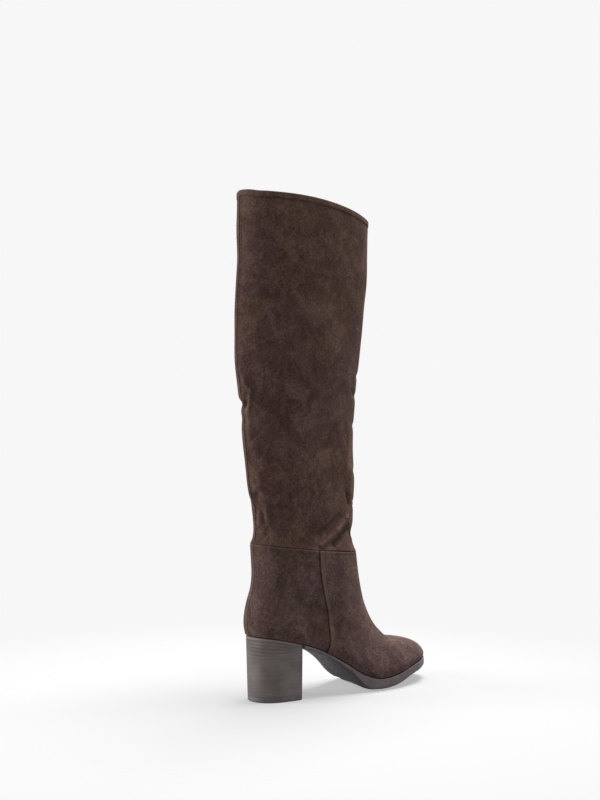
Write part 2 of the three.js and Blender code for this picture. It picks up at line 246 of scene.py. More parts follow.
def read_curve(source, column, at, closed=False):
    """A smooth curve through a table's rows, read at many places at once."""
    xs = next(iter(source.values()))
    ys = source[column]
    at = np.asarray(at, float)
    if closed:
        xs = np.concatenate([xs[-2:] - 1, xs, xs[:3] + 1])
        ys = np.concatenate([ys[-2:], ys, ys[:3]])
        at = np.mod(at, 1.0)
    at = np.clip(at, xs[0], xs[-1])
    span = np.diff(xs)
    chord = np.diff(ys) / span
    slope = np.empty(len(xs))
    slope[0], slope[-1] = chord[0], chord[-1]
    slope[1:-1] = (chord[:-1] * span[1:] + chord[1:] * span[:-1]) / (span[:-1] + span[1:])
    i = np.clip(np.searchsorted(xs, at, side="right") - 1, 0, len(xs) - 2)
    t = (at - xs[i]) / span[i]
    return (
        (2 * t**3 - 3 * t**2 + 1) * ys[i]
        + (t**3 - 2 * t**2 + t) * span[i] * slope[i]
        + (3 * t**2 - 2 * t**3) * ys[i + 1]
        + (t**3 - t**2) * span[i] * slope[i + 1]
    )


def mix(a, b, share):
    return a + (b - a) * share


def smooth_step(low, high, value):
    """0 below low, 1 above high, and an even ramp between them."""
    t = np.clip((value - low) / (high - low), 0, 1)
    return t * t * (3 - 2 * t)


def bump(distance, width):
    """A soft hill, 1 in its middle and close to 0 past twice its width."""
    return np.exp(-((distance / width) ** 2))


def crowd(count, peaks, closed=False):
    """Places from 0 to 1, drawn together round peaks of (place, width, strength)."""
    fine = np.linspace(0, 1, 4001)
    density = np.ones_like(fine)
    for place, width, strength in peaks:
        away = np.abs(fine - place)
        away = np.minimum(away, 1 - away) if closed else away
        density += strength * bump(away, width)
    total = np.concatenate([[0], np.cumsum((density[1:] + density[:-1]) / 2)])
    return np.interp(np.linspace(0, 1, count, endpoint=not closed), total / total[-1], fine)


# Columns that draw together round the toe.
TOE_COLUMNS = (0.5, 0.12, 1.2)


def wrap_turn(turn):
    """A turn brought into the range from -0.5 to 0.5."""
    return (turn + 0.5) % 1.0 - 0.5


def path_distance(points, path):
    """Distance from each point to a path of straight pieces."""
    nearest = np.full(points.shape[:-1], np.inf)
    for start, end in zip(path[:-1], path[1:]):
        along = end - start
        share = np.clip(((points - start) @ along) / (along @ along), 0, 1)
        away = np.linalg.norm(points - start - share[..., None] * along, axis=-1)
        nearest = np.minimum(nearest, away)
    return nearest


# ---------------------------------------------------------------------------
# Surfaces of the boot
# ---------------------------------------------------------------------------

def across_waist(y):
    """0 at the outer edge of the waist and 1 at its inner edge."""
    return (y - OUTER_EDGE_Y) / WAIST_WIDTH


def seat_height(x, y=0.0):
    return read_curve(SEAT, "z", x) + across_waist(y) * read_curve(ARCH, "z", x)


def underside_height(x, y):
    twist = across_waist(y) * read_curve(UNDERSIDE_TWIST, "z", x)
    return np.maximum(0, read_curve(UNDERSIDE, "z", x) + twist)


def collar_height(x):
    return read_curve(COLLAR, "z", x)


def footprint(turn):
    x = read_curve(FOOTPRINT, "x", turn, closed=True)
    y = read_curve(FOOTPRINT, "y", turn, closed=True)
    return x, y


def offset_footprint(turn, margin):
    """The footprint moved outwards by a margin, or inwards by a negative one."""
    step = 0.004
    x0, y0 = footprint(turn - step)
    x1, y1 = footprint(turn + step)
    length = np.hypot(x1 - x0, y1 - y0)
    x, y = footprint(turn)
    return x + (y1 - y0) / length * margin, y - (x1 - x0) / length * margin


def turn_at_x(x, back_turn):
    """The turn at which the footprint reaches x, from the back end to the toe."""
    turns = np.linspace(back_turn, 0.5, 4001)
    return float(np.interp(x, footprint(turns)[0], turns))


def foot_surface(rise, turn):
    """Outside of the foot part, from the feather line (0) to the ankle seam (1)."""
    section = {name: read_curve(FOOT_SECTIONS, name, rise) for name in FOOT_SECTIONS}
    shape = section["shape"]
    plan_x, plan_y = footprint(turn)
    plan_width = np.where(plan_y < 0, BALL_HALF_WIDTH["outer"], BALL_HALF_WIDTH["inner"])
    along_foot = (plan_x - BACK_X) / (TOE_X - BACK_X)
    along = mix((1 - np.cos(2 * np.pi * turn)) / 2, along_foot, shape)
    across = mix(-np.sin(2 * np.pi * turn), plan_y / plan_width, shape)
    back_lift = section["back_z"] - shape * seat_height(BACK_X)
    front_lift = section["front_z"] - shape * seat_height(TOE_X)
    x = mix(section["back_x"], section["front_x"], along)
    y = across * np.where(across < 0, section["outer"], section["inner"])
    z = shape * seat_height(plan_x, plan_y) + mix(back_lift, front_lift, along)
    z = z - section["dip"] * 4 * along * (1 - along)
    return np.stack([x, y, z], axis=-1)


def leg_section(turn, z):
    """A point on the leg at a turn and a height."""
    centre, half_length, half_width = (
        read_curve(LEG_SECTIONS, name, z) for name in ("centre", "half_length", "half_width")
    )
    x = centre - half_length * np.cos(2 * np.pi * turn)
    y = -half_width * np.sin(2 * np.pi * turn)
    return np.stack([x, y, z + 0 * x], axis=-1)


def leg_surface(level, turn):
    """Outside of the leg. level is 0 at the ankle seam and 1 at the collar."""
    seam = foot_surface(np.ones_like(turn), turn)
    points = leg_section(turn, mix(seam[..., 2], collar_height(seam[..., 0]), level))
    points[..., 2] = mix(seam[..., 2], collar_height(points[..., 0]), level)
    return points


def surface_normals(points):
    """Outward normals of a grid of points with rows going up and columns going round."""
    around = np.roll(points, -1, axis=1) - np.roll(points, 1, axis=1)
    upward = np.gradient(points, axis=0)
    normals = np.cross(around, upward)
    return normals / np.linalg.norm(normals, axis=-1, keepdims=True)


# ---------------------------------------------------------------------------
# Meshes
# ---------------------------------------------------------------------------

def link_object(name, data):
    """A new object in the scene that shows some data."""
    obj = bpy.data.objects.new(name, data)
    bpy.context.scene.collection.objects.link(obj)
    return obj


def make_piece(name, points, faces, materials, relief=None, face_materials=None):
    """A smooth-shaded mesh object. relief is kept as a point attribute."""
    mesh = bpy.data.meshes.new(name)
    mesh.from_pydata((points.reshape(-1, 3) * MM).tolist(), [], faces)
    for material in materials:
        mesh.materials.append(material)
    mesh.polygons.foreach_set("use_smooth", [True] * len(mesh.polygons))
    if face_materials is not None:
        mesh.polygons.foreach_set("material_index", face_materials)
    if relief is not None:
        attribute = mesh.attributes.new("relief", "FLOAT", "POINT")
        attribute.data.foreach_set("value", relief.astype(np.float32).ravel())
    mesh.update()
    return link_object(name, mesh)


def band_faces(rows, columns, closed_rows=False):
    """Quads over a grid whose columns close on themselves."""
    last = rows if closed_rows else rows - 1
    i, j = np.meshgrid(np.arange(last), np.arange(columns), indexing="ij")
    below, above = i * columns, ((i + 1) % rows) * columns
    beside = (j + 1) % columns
    quads = np.stack([below + j, below + beside, above + beside, above + j], axis=-1)
    return quads.reshape(-1, 4).tolist()


def sleeve(name, rings, lining_from, materials, relief):
    """A closed wall from rings that go up the outside, over the rim and down inside."""
    rows, columns = rings.shape[:2]
    slots = np.repeat((np.arange(rows) >= lining_from).astype(np.int32), columns)
    faces = band_faces(rows, columns, closed_rows=True)
    return make_piece(name, rings, faces, materials, relief, slots)


def slab(name, rings, material, relief=None):
    """A solid from rings stacked upwards, closed by strips from outer to inner side."""
    rows, columns = rings.shape[:2]
    faces = band_faces(rows, columns)
    top = (rows - 1) * columns
    for i in range((columns - 1) // 2):
        far = columns - 1 - i
        if far - 1 > i + 1:
            faces.append([top + i, top + i + 1, top + far - 1, top + far])
            faces.append([i, far, far - 1, i + 1])
        else:
            faces.append([top + i, top + i + 1, top + far])
            faces.append([i, far, i + 1])
    return make_piece(name, rings, faces, [material], relief)


def half_round(outer, inner, steps):
    """Rings that carry an outer ring over a rounded rim to an inner one."""
    middle = (outer + inner) / 2
    half = (outer - inner) / 2
    up = np.linalg.norm(half, axis=-1, keepdims=True) * np.array([0.0, 0.0, 1.0])
    angles = np.linspace(0, np.pi, steps + 2)[1:-1]
    return np.array([middle + half * math.cos(a) + up * math.sin(a) for a in angles])


def keep_edges(obj, degrees):
    """Edges sharper than an angle stay crisp."""
    obj.data.set_sharp_from_angle(angle=math.radians(degrees))


def place(obj, slot, *nodes):
    """The piece rides with the boot and stands for CAD nodes."""
    if nodes:
        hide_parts(*nodes)
    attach(obj, BODY)


# ---------------------------------------------------------------------------
# Materials
# ---------------------------------------------------------------------------

def new_material(name, roughness, specular=0.5):
    """A Principled material with the values that are the same all over it."""
    material = bpy.data.materials.new(name)
    material.use_nodes = True
    shader = material.node_tree.nodes["Principled BSDF"]
    shader.inputs["Roughness"].default_value = roughness
    shader.inputs["Specular IOR Level"].default_value = specular
    return material, material.node_tree, shader


def add_node(tree, kind, inputs=None, **settings):
    """A node with its settings, and its inputs linked to sockets or set to values."""
    node = tree.nodes.new(kind)
    for key, value in settings.items():
        setattr(node, key, value)
    for key, value in (inputs or {}).items():
        if isinstance(value, bpy.types.NodeSocket):
            tree.links.new(value, node.inputs[key])
        else:
            node.inputs[key].default_value = value
    return node


def object_coordinates(tree, stretch=(1, 1, 1)):
    place_in_mesh = add_node(tree, "ShaderNodeTexCoord").outputs["Object"]
    mapping = add_node(tree, "ShaderNodeMapping", {"Vector": place_in_mesh, "Scale": stretch})
    return mapping.outputs["Vector"]


def noise(tree, vector, size_mm, detail=2.0, roughness=0.5, distortion=0.0):
    """Noise whose features are about size_mm across."""
    inputs = {
        "Vector": vector,
        "Scale": 1 / (size_mm * MM),
        "Detail": detail,
        "Roughness": roughness,
        "Distortion": distortion,
    }
    return add_node(tree, "ShaderNodeTexNoise", inputs).outputs["Fac"]


def weighted_sum(tree, *terms):
    """Sum of (value, weight) pairs."""
    total = None
    for value, weight in terms:
        inputs = {0: value, 1: weight, 2: 0.0 if total is None else total}
        total = add_node(tree, "ShaderNodeMath", inputs, operation="MULTIPLY_ADD").outputs[0]
    return total


def remap(tree, value, low, high, to_low=0.0, to_high=1.0):
    inputs = {
        "Value": value,
        "From Min": low,
        "From Max": high,
        "To Min": to_low,
        "To Max": to_high,
    }
    node = add_node(tree, "ShaderNodeMapRange", inputs, interpolation_type="SMOOTHSTEP")
    return node.outputs["Result"]


def mix_colour(tree, factor, a, b, blend="MIX"):
    node = add_node(tree, "ShaderNodeMix", data_type="RGBA", blend_type=blend)
    sockets = {socket.identifier: socket for socket in node.inputs}
    for name, value in (("Factor_Float", factor), ("A_Color", a), ("B_Color", b)):
        if isinstance(value, bpy.types.NodeSocket):
            tree.links.new(value, sockets[name])
        elif name == "Factor_Float":
            sockets[name].default_value = value
        else:
            sockets[name].default_value = (*value, 1)
    return next(socket for socket in node.outputs if socket.identifier == "Result_Color")


def tint(tree, colour, by):
    """A colour multiplied by another one."""
    return mix_colour(tree, 1.0, colour, by, "MULTIPLY")


def grey(tree, value):
    inputs = {"Red": value, "Green": value, "Blue": value}
    return add_node(tree, "ShaderNodeCombineColor", inputs).outputs["Color"]


def shade_relief(tree, colour, raised, sunk):
    """Raised places turn to one colour and sunk ones to another.

    Each is given by the relief where the change starts and ends, its strength and its
    colour.
    """
    relief = add_node(tree, "ShaderNodeAttribute", attribute_name="relief").outputs["Fac"]
    for start, end, strength, other in (raised, sunk):
        share = remap(tree, relief, start, end, 0.0, strength)
        colour = mix_colour(tree, share, colour, other)
    return colour


def finish_surface(tree, shader, colour, height, bump_mm, strength, roughness=None):
    """Link a material's colour, its bump and, where it varies, its roughness."""
    inputs = {"Height": height, "Distance": bump_mm * MM, "Strength": strength}
    normal = add_node(tree, "ShaderNodeBump", inputs).outputs["Normal"]
    tree.links.new(colour, shader.inputs["Base Color"])
    tree.links.new(normal, shader.inputs["Normal"])
    if roughness is not None:
        tree.links.new(roughness, shader.inputs["Roughness"])


def suede_material(name, suede, dye=(1, 1, 1)):
    """Brushed suede: a soft mottled nap, with painted highlight and nap pale from rubbing on
    raised edges and fold crests, and painted shade in grooves, seams and fold troughs.
    """
    material, tree, shader = new_material(name, 0.96, specular=0.08)
    shader.inputs["Sheen Weight"].default_value = suede.sheen
    shader.inputs["Sheen Roughness"].default_value = 0.5
    shader.inputs["Sheen Tint"].default_value = (*suede.sheen_tint, 1)
    still = object_coordinates(tree)
    brushed = object_coordinates(tree, (1, 1, 0.75))
    cloud = noise(tree, still, 24.0, 1.0, 0.5, 0.7)
    blotch = noise(tree, brushed, 11.0, 3.0, 0.6, 1.2)
    smudge = noise(tree, brushed, 3.6, 2.0, 0.6, 0.8)
    nap = noise(tree, still, 1.6, 2.0, 0.75)
    mottle = weighted_sum(tree, (cloud, 0.36), (blotch, 0.44), (smudge, 0.20))
    colour = mix_colour(tree, remap(tree, mottle, 0.40, 0.50), suede.dark, suede.base)
    colour = mix_colour(tree, remap(tree, mottle, 0.49, 0.60), colour, suede.light)
    strokes = remap(tree, noise(tree, brushed, 7.5, 4.0, 0.6, 3.0), 0.55, 0.70, 0.0, 0.6)
    colour = mix_colour(tree, strokes, colour, suede.light)
    hue = remap(tree, noise(tree, still, 55.0, 2.0), 0.40, 0.60)
    warmth = mix_colour(tree, hue, suede.warm, suede.cool)
    colour = tint(tree, colour, warmth)
    grain = remap(tree, nap, 0.28, 0.72, 0.66, 1.36)
    colour = tint(tree, colour, grey(tree, grain))
    # raised edges and fold crests are painted pale, as highlight and nap pale from rubbing; seams,
    # grooves and fold troughs are painted dark, as shade
    rubbed = (0.12, 1.1, suede.rub_and_highlight, suede.rubbed)
    shaded_groove = (-0.15, -0.7, 0.85, suede.shaded_groove)
    colour = tint(tree, shade_relief(tree, colour, rubbed, shaded_groove), dye)
    hairs = noise(tree, brushed, 0.4, 2.0, 0.6)
    height = weighted_sum(tree, (hairs, 0.35), (nap, 0.8), (smudge, 0.9), (blotch, 0.6))
    finish_surface(tree, shader, colour, height, 0.45, 0.8)
    return material


def leather_material(name, tones, pore_mm, roughness):
    """Smooth leather with a fine pore, for the lining and the insole's sock."""
    material, tree, shader = new_material(name, roughness, specular=0.3)
    still = object_coordinates(tree)
    tone = remap(tree, noise(tree, still, 18.0, 3.0), 0.35, 0.65)
    colour = mix_colour(tree, tone, tones.dark, tones.light)
    pores = add_node(tree, "ShaderNodeTexVoronoi", {"Vector": still, "Scale": 1 / (pore_mm * MM)})
    cloud = noise(tree, still, 0.7, 2.0)
    height = weighted_sum(tree, (pores.outputs["Distance"], 1.0), (cloud, 0.8))
    finish_surface(tree, shader, colour, height, 0.10, 0.7)
    return material


def rubber_material(sole):
    """Matte moulded rubber, a little dusty, with a fine pebble, paler along the top edge and
    painted dark, as shade, underneath.
    """
    material, tree, shader = new_material("sole_rubber", 0.6, specular=0.35)
    still = object_coordinates(tree)
    dust = remap(tree, noise(tree, still, 9.0, 4.0, 0.6), 0.35, 0.7)
    colour = mix_colour(tree, dust, sole.dark, sole.light)
    # paler along the top edge; the underside and its rounded edge are painted dark, as shade
    edge, underside_shade = (0.1, 1.0, 0.8, sole.edge), (-0.1, -1.0, 0.9, sole.underside_shade)
    colour = shade_relief(tree, colour, edge, underside_shade)
    roughness = remap(tree, noise(tree, still, 4.0, 3.0), 0.3, 0.7, 0.52, 0.7)
    pebble = noise(tree, still, 0.5, 3.0, 0.6)
    finish_surface(tree, shader, colour, pebble, 0.06, 0.7, roughness)
    return material


def heel_material(heel):
    """A heel finished to look stacked: level layers, stained, with a low polish."""
    material, tree, shader = new_material("stacked_heel", 0.7, specular=0.12)
    layered = object_coordinates(tree, (0.05, 0.05, 1))
    still = object_coordinates(tree)
    layers = noise(tree, layered, 1.6, 4.0, 0.65)
    stain = noise(tree, still, 22.0, 2.0)
    tone = weighted_sum(tree, (layers, 0.45), (stain, 0.55))
    colour = mix_colour(tree, remap(tree, tone, 0.36, 0.64), heel.dark, heel.light)
    patchy = remap(tree, noise(tree, still, 16.0, 2.0), 0.40, 0.62, 0.25, 0.75)
    rand, line = (0.1, 1.0, 0.8, heel.rand), (-0.05, -0.5, patchy, heel.line)
    colour = shade_relief(tree, colour, rand, line)
    roughness = remap(tree, layers, 0.3, 0.7, 0.64, 0.76)
    finish_surface(tree, shader, colour, layers, 0.06, 0.6, roughness)
    return material


def thread_material(thread):
    """Waxed thread with its twist."""
    material, tree, shader = new_material("thread", 0.6, specular=0.35)
    twist = noise(tree, object_coordinates(tree), 0.4, 2.0)
    colour = mix_colour(tree, remap(tree, twist, 0.3, 0.7), thread.dark, thread.light)
    finish_surface(tree, shader, colour, twist, 0.05, 0.6)
    return material


# ---------------------------------------------------------------------------
# Settings
# ---------------------------------------------------------------------------

def length(name, description, millimetres):
    return bpy.props.FloatProperty(
        name=name, description=description, default=millimetres * MM,
        min=0.0, precision=5, subtype="DISTANCE", unit="LENGTH",
    )


def factor(name, description, default):
    return bpy.props.FloatProperty(
        name=name, description=description, default=default, min=0.0, max=2.0, subtype="FACTOR",
    )


def colour(name, description, default):
    return bpy.props.FloatVectorProperty(
        name=name, description=description, default=default,
        size=3, min=0.0, max=1.0, subtype="COLOR",
    )


class BOOT_PG_suede(bpy.types.PropertyGroup):
    """Colour and nap of the suede."""

    base: colour("Base", "Main colour of the nap", (0.0640, 0.0396, 0.0355))
    dark: colour("Dark", "Nap brushed away from the light", (0.0480, 0.0286, 0.0258))
    light: colour("Light", "Nap brushed towards the light", (0.0880, 0.0568, 0.0514))
    warm: colour("Warm", "Tint of the browner patches", (1.0, 0.99, 0.92))
    cool: colour("Cool", "Tint of the more purple patches", (0.98, 0.96, 1.0))
    leg_dye: colour("Leg dye", "How the leg's dye differs from the foot's", (1.0, 0.935, 0.875))
    # colour of the painted highlight and of nap pale from rubbing, on raised edges and fold crests
    rubbed: colour("Rubbed", "Nap rubbed pale along raised edges", (0.150, 0.098, 0.080))
    # colour of the painted shade in seams, grooves, fold troughs and the cut rim
    shaded_groove: colour("Groove", "Inside of a seam", (0.008, 0.005, 0.004))
    # strength of that painted highlight and rubbing
    rub_and_highlight: factor("Rub", "How pale the raised edges are", 0.45)
    sheen: factor("Sheen", "Strength of the nap's soft edge light", 0.07)
    sheen_tint: colour("Sheen tint", "Colour of the edge light", (0.62, 0.46, 0.38))


class BOOT_PG_lining(bpy.types.PropertyGroup):
    """Colour of the lining and of the insole's sock."""

    dark: colour("Dark", "Darker tone of the leather", (0.075, 0.047, 0.033))
    light: colour("Light", "Lighter tone of the leather", (0.105, 0.068, 0.048))


class BOOT_PG_leg(bpy.types.PropertyGroup):
    """Sizes of the leg."""

    wall: length("Wall", "Suede and lining", 1.8)
    hem: length("Hem", "Width of the folded hem at the collar", 6.0)
    hem_swell: length("Hem swell", "How far the folded hem stands out", 0.5)
    tuck: length("Tuck", "How far the leg reaches down inside the foot part", 9.0)
    folds: factor("Folds", "Depth of the soft folds, 1 as worn", 1.0)
    # fold crests are painted paler, as highlight and rubbing, and fold troughs darker, as shade
    shading_and_wear: factor("Wear", "How much paler a fold's crest is, and darker its trough", 1.1)


class BOOT_PG_foot(bpy.types.PropertyGroup):
    """Sizes of the foot part."""

    wall: length("Wall", "Suede, stiffener and lining", 2.0)
    lap: length("Lap", "Height of the front piece over the side seam", 0.7)
    lap_width: length("Lap width", "Doubled width in front of the side seam", 4.2)
    seam_depth: length("Seam depth", "Depth of the side seam's groove", 0.9)
    feather: length("Feather", "How far the suede turns in at the sole", 1.2)
    stitch_row: length("Stitch row", "Distance of the top stitching from the edge", 3.6)


class BOOT_PG_sole(bpy.types.PropertyGroup):
    """Sizes and colours of the outsole."""

    margin: length("Margin", "How far the sole stands out past the upper", 0.8)
    side_lift: length("Side lift", "Height at which the sole's upright side begins", 3.4)
    dark: colour("Dark", "Darker tone of the rubber", (0.085, 0.068, 0.073))
    light: colour("Light", "Lighter tone of the rubber", (0.116, 0.096, 0.102))
    # paler along the top edge
    edge: colour("Edge", "Rubber rubbed pale along the top edge", (0.172, 0.155, 0.152))
    # the underside and its rounded edge are painted dark, as shade
    underside_shade: colour("Tread", "Rubber of the underside", (0.038, 0.032, 0.032))


class BOOT_PG_heel(bpy.types.PropertyGroup):
    """Sizes and colours of the heel."""

    top_piece: length("Top piece", "Thickness of the wearing layer", 5.0)
    layer: length("Layer", "Thickness of one layer of the stack", 2.9)
    line_depth: length("Line depth", "Depth of the line between two layers", 0.05)
    rand_height: length("Rand", "Height of the layer under the seat", 2.3)
    corner: length("Corner", "Rounding of the two corners at the breast", 2.2)
    dark: colour("Dark", "Darker tone of the stack", (0.104, 0.086, 0.084))
    light: colour("Light", "Lighter tone of the stack", (0.146, 0.125, 0.123))
    rand: colour("Rand colour", "Layer under the seat", (0.165, 0.154, 0.143))
    line: colour("Line", "Line between two layers", (0.050, 0.042, 0.041))


class BOOT_PG_thread(bpy.types.PropertyGroup):
    """Sizes and colours of the stitching."""

    pitch: length("Pitch", "Distance from stitch to stitch", 3.0)
    stitch: length("Stitch", "Length of a stitch", 2.4)
    thickness: length("Thickness", "Thickness of the thread", 0.55)
    dark: colour("Dark", "Darker tone of the thread", (0.030, 0.018, 0.014))
    light: colour("Light", "Lighter tone of the thread", (0.062, 0.042, 0.034))


class BOOT_PG_stage(bpy.types.PropertyGroup):
    """Camera, floor and lights."""

    azimuth: bpy.props.FloatProperty(
        name="Azimuth", description="How far the camera has gone round behind the outer side",
        default=math.radians(37.9), subtype="ANGLE", unit="ROTATION",
    )
    distance: length("Distance", "From the camera to the heel, along the view", 1104.5)
    aside: length("Aside", "Camera's place to the right of the heel", 29.5)
    height: length("Height", "Camera above the floor", 236.3)
    lens: bpy.props.FloatProperty(
        name="Lens", description="Focal length", default=49.5, unit="CAMERA",
    )
    shift: factor("Shift", "Upward shift of the frame", 0.07925)
    backdrop: colour("Backdrop", "Pale surround", (0.93, 0.93, 0.93))
    floor: colour("Floor", "Pale floor", (0.335, 0.335, 0.335))
    glow: factor("Glow", "How far the surround shows through the floor and lightens shadows", 0.45)
    fill: factor("Fill", "Even light from all round", 0.54)


SETTINGS = {
    "boot_suede": BOOT_PG_suede,
    "boot_lining": BOOT_PG_lining,
    "boot_leg": BOOT_PG_leg,
    "boot_foot": BOOT_PG_foot,
    "boot_sole": BOOT_PG_sole,
    "boot_heel": BOOT_PG_heel,
    "boot_thread": BOOT_PG_thread,
    "boot_stage": BOOT_PG_stage,
}


# ---------------------------------------------------------------------------
# The leg
# ---------------------------------------------------------------------------

# Columns and rows of the leg's mesh, with the rows of its lining and of its round rim.
LEG_COLUMNS = 300
LEG_ROWS = 255
LEG_INNER_ROWS = 36
RIM_ROWS = 6
# Height of the rim, and of the whole leg above the ankle seam.
RIM_HEIGHT = 1.1
LEG_HEIGHT = 355.0
# How far the hem's groove lies below the hem, and the relief that darkens the cut rim.
HEM_GROOVE = 0.4
RIM_SHADE = -0.35
# The tucked end's gap inside the foot part's wall, and how far in from the foot part's
# outside the leg comes out of it.
ANKLE_GAP = 0.2
ANKLE_STEP = 0.35
# The round ridge that the leg's back seam runs on.
LEG_RIDGE = {"height": 1.2, "width": 7.0}


def fold_relief(folds, points, surface, from_key, to_key):
    """Sum of a table's folds, each a soft trough or ridge along its own path."""
    total = np.zeros(points.shape[:-1])
    for i in range(len(folds["depth"])):
        turns = np.linspace(folds["from_turn"][i], folds["to_turn"][i], 5)
        places = np.linspace(folds[from_key][i], folds[to_key][i], 5)
        distance = path_distance(points, surface(turns, places))
        total += folds["depth"][i] * bump(distance, folds["width"][i])
    return total


def slack(points, turn):
    """Faint waves all over the leg, as an empty suede tube has."""
    z = points[..., 2]
    angle = 2 * np.pi * turn
    waves = (
        0.30 * np.sin(z / 19.0 + 2.0 * np.sin(angle + 0.7))
        + 0.22 * np.sin(z / 11.0 - 3 * angle + 1.9)
        + 0.20 * np.sin(z / 31.0 + 5 * angle + 0.4)
        + 0.10 * np.sin(z / 6.7 + 4 * angle + 2.6)
    )
    return waves * (1 - 0.8 * smooth_step(470.0, 500.0, z))


def ankle_flare(points, turn, foot_wall):
    """The leg's lower end spreads like a bell until it lies on the foot part's edge."""
    seam = foot_surface(np.ones_like(turn), turn)
    neck = leg_surface(np.zeros_like(turn), turn)
    reach = np.hypot(seam[..., 0] - neck[..., 0], seam[..., 1] - neck[..., 1])
    above = points[..., 2] - seam[..., 2]
    inside = np.maximum(reach - foot_wall - ANKLE_GAP, 0)
    tight = inside * smooth_step(-7.0, -0.4, above)
    proud = (reach - ANKLE_STEP - inside) * smooth_step(-0.5, 0.4, above)
    return (tight + proud) * np.exp(-np.maximum(above - 0.5, 0) / 6.0)


def back_seam(beside):
    """Two close lips, painted pale as highlight and rubbing, with a fine line between them painted
    dark as shade.
    """
    lips = 0.40 * (bump(beside - 1.3, 0.8) + bump(beside + 1.3, 0.8))
    return lips - 0.75 * bump(beside, 0.45)


def leg_relief(leg, foot, points, turn):
    """Soft folds, and fine seams and hem, as heights over the smooth leg. These heights also paint
    the nap: raised places paler, as highlight and rubbing, and sunk ones dark, as shade.
    """
    above = points[..., 2] - foot_surface(np.ones_like(turn), turn)[..., 2]
    below = collar_height(points[..., 0]) - points[..., 2]
    half_width = read_curve(LEG_SECTIONS, "half_width", points[..., 2])
    beside = 2 * np.pi * half_width * np.abs(wrap_turn(turn))
    # folds and the back seam die out into the ankle seam
    free = smooth_step(-1.0, 6.0, above)
    folds = fold_relief(LEG_FOLDS, points, leg_section, "from_z", "to_z")
    soft = leg.folds * (folds + slack(points, turn)) * free
    soft += LEG_RIDGE["height"] * np.exp(-beside / LEG_RIDGE["width"])
    soft += ankle_flare(points, turn, foot.wall / MM)
    hem = leg.hem / MM
    fine = back_seam(beside) * smooth_step(hem - 2, hem + 1, below) * free
    fine += leg.hem_swell / MM * (1 - smooth_step(hem - 1.0, hem + 0.2, below))
    fine -= 0.4 * bump(below - hem - HEM_GROOVE, 0.75)
    # the ankle seam gapes on both sides of the instep, and its line is painted dark there, as
    # shade
    gap = bump(np.abs(wrap_turn(turn)) - 0.31, 0.09)
    fine -= (0.5 + 0.5 * gap) * bump(above - 0.3 * gap, 0.7 + 0.3 * gap)
    return soft, fine


# The most that a fold's trough is painted dark, as shade, and that its crest is painted pale, as
# highlight and rubbing.
CREST_LIMITS = (-0.35, 0.7)


def crests(heights, reach=3):
    """How far each point stands above the average round it, within limits."""
    steps = range(-reach, reach + 1)
    padded = np.pad(heights, ((reach, reach), (0, 0)), mode="edge")
    count = len(heights)
    along = sum(padded[reach + i:reach + i + count] for i in steps) / len(steps)
    around = sum(np.roll(along, i, axis=1) for i in steps) / len(steps)
    return np.clip(heights - around, *CREST_LIMITS)


def lowest_between(heights, rows):
    """Each chosen row gets the lowest height up to its neighbours, the others keep theirs."""
    result = heights.copy()
    for before, row, after in zip([rows[0], *rows[:-1]], rows, [*rows[1:], rows[-1]]):
        low, high = min(before, after), max(before, after)
        result[row] = heights[low:high + 1].min(axis=0)
    return result


class BOOT_OT_leg(bpy.types.Operator):
    """Make the leg: a slack suede tube with its back seam, hem, folds and lining"""

    bl_idname = "boot.leg"
    bl_label = "Leg"

    def execute(self, context):
        scene = context.scene
        leg = scene.boot_leg
        start = -leg.tuck / MM / LEG_HEIGHT
        rows = crowd(LEG_ROWS, [(-start, 0.012, 5.0), (1.0, 0.022, 4.0)])
        levels = mix(start, 1 - RIM_HEIGHT / LEG_HEIGHT, rows)
        columns = crowd(LEG_COLUMNS, [(0.0, 0.012, 4.0)], closed=True)
        level, turn = np.meshgrid(levels, columns, indexing="ij")
        base = leg_surface(level, turn)
        normals = surface_normals(base)
        soft, fine = leg_relief(leg, scene.boot_foot, base, turn)
        outer = base + normals * (soft + fine)[..., None]
        pick = np.linspace(LEG_ROWS - 1, 0, LEG_INNER_ROWS).round().astype(int)
        inner = (base + normals * (lowest_between(soft, pick) - leg.wall / MM)[..., None])[pick]
        rings = np.concatenate([outer, half_round(outer[-1], inner[0], RIM_ROWS), inner])
        relief = np.zeros(rings.shape[:2])
        # raised seams, hem and fold crests are painted paler, as highlight and rubbing, and sunk
        # seams and fold troughs dark, as shade
        relief[:LEG_ROWS] = fine + leg.shading_and_wear * crests(soft)
        relief[LEG_ROWS:LEG_ROWS + RIM_ROWS] = RIM_SHADE
        materials = [
            suede_material("suede_leg", scene.boot_suede, scene.boot_suede.leg_dye),
            leather_material("lining_leather", scene.boot_lining, 0.9, 0.7),
        ]
        obj = sleeve("leg", rings, LEG_ROWS + RIM_ROWS, materials, relief)
        place(obj, "suede_leg", "shaft")
        return {"FINISHED"}


# ---------------------------------------------------------------------------
# The foot part
# ---------------------------------------------------------------------------

# Columns and rows of the foot part's mesh, and rows of its lining.
FOOT_COLUMNS = 400
FOOT_ROWS = 170
FOOT_INNER_ROWS = 30
# The round ridge that the foot part's back seam runs on, and how much paler it is painted, as
# highlight and rubbing.
FOOT_RIDGE = {"height": 0.9, "width": 5.0, "shading_and_wear": 0.6}


def foot_grid():
    """Rises and turns of a grid whose columns run along the side seams."""
    rows = crowd(FOOT_ROWS, [(0.0, 0.03, 4.0), (1.0, 0.03, 4.0)])
    peaks = [(0.0, 0.012, 4.0), (0.25, 0.014, 4.0), (0.75, 0.014, 4.0), TOE_COLUMNS]
    rise, even = np.meshgrid(rows, crowd(FOOT_COLUMNS, peaks, closed=True), indexing="ij")
    bend = read_curve(SIDE_SEAM, "turn", rise) - 0.25
    return rise, even, even + bend * np.sin(2 * np.pi * even)


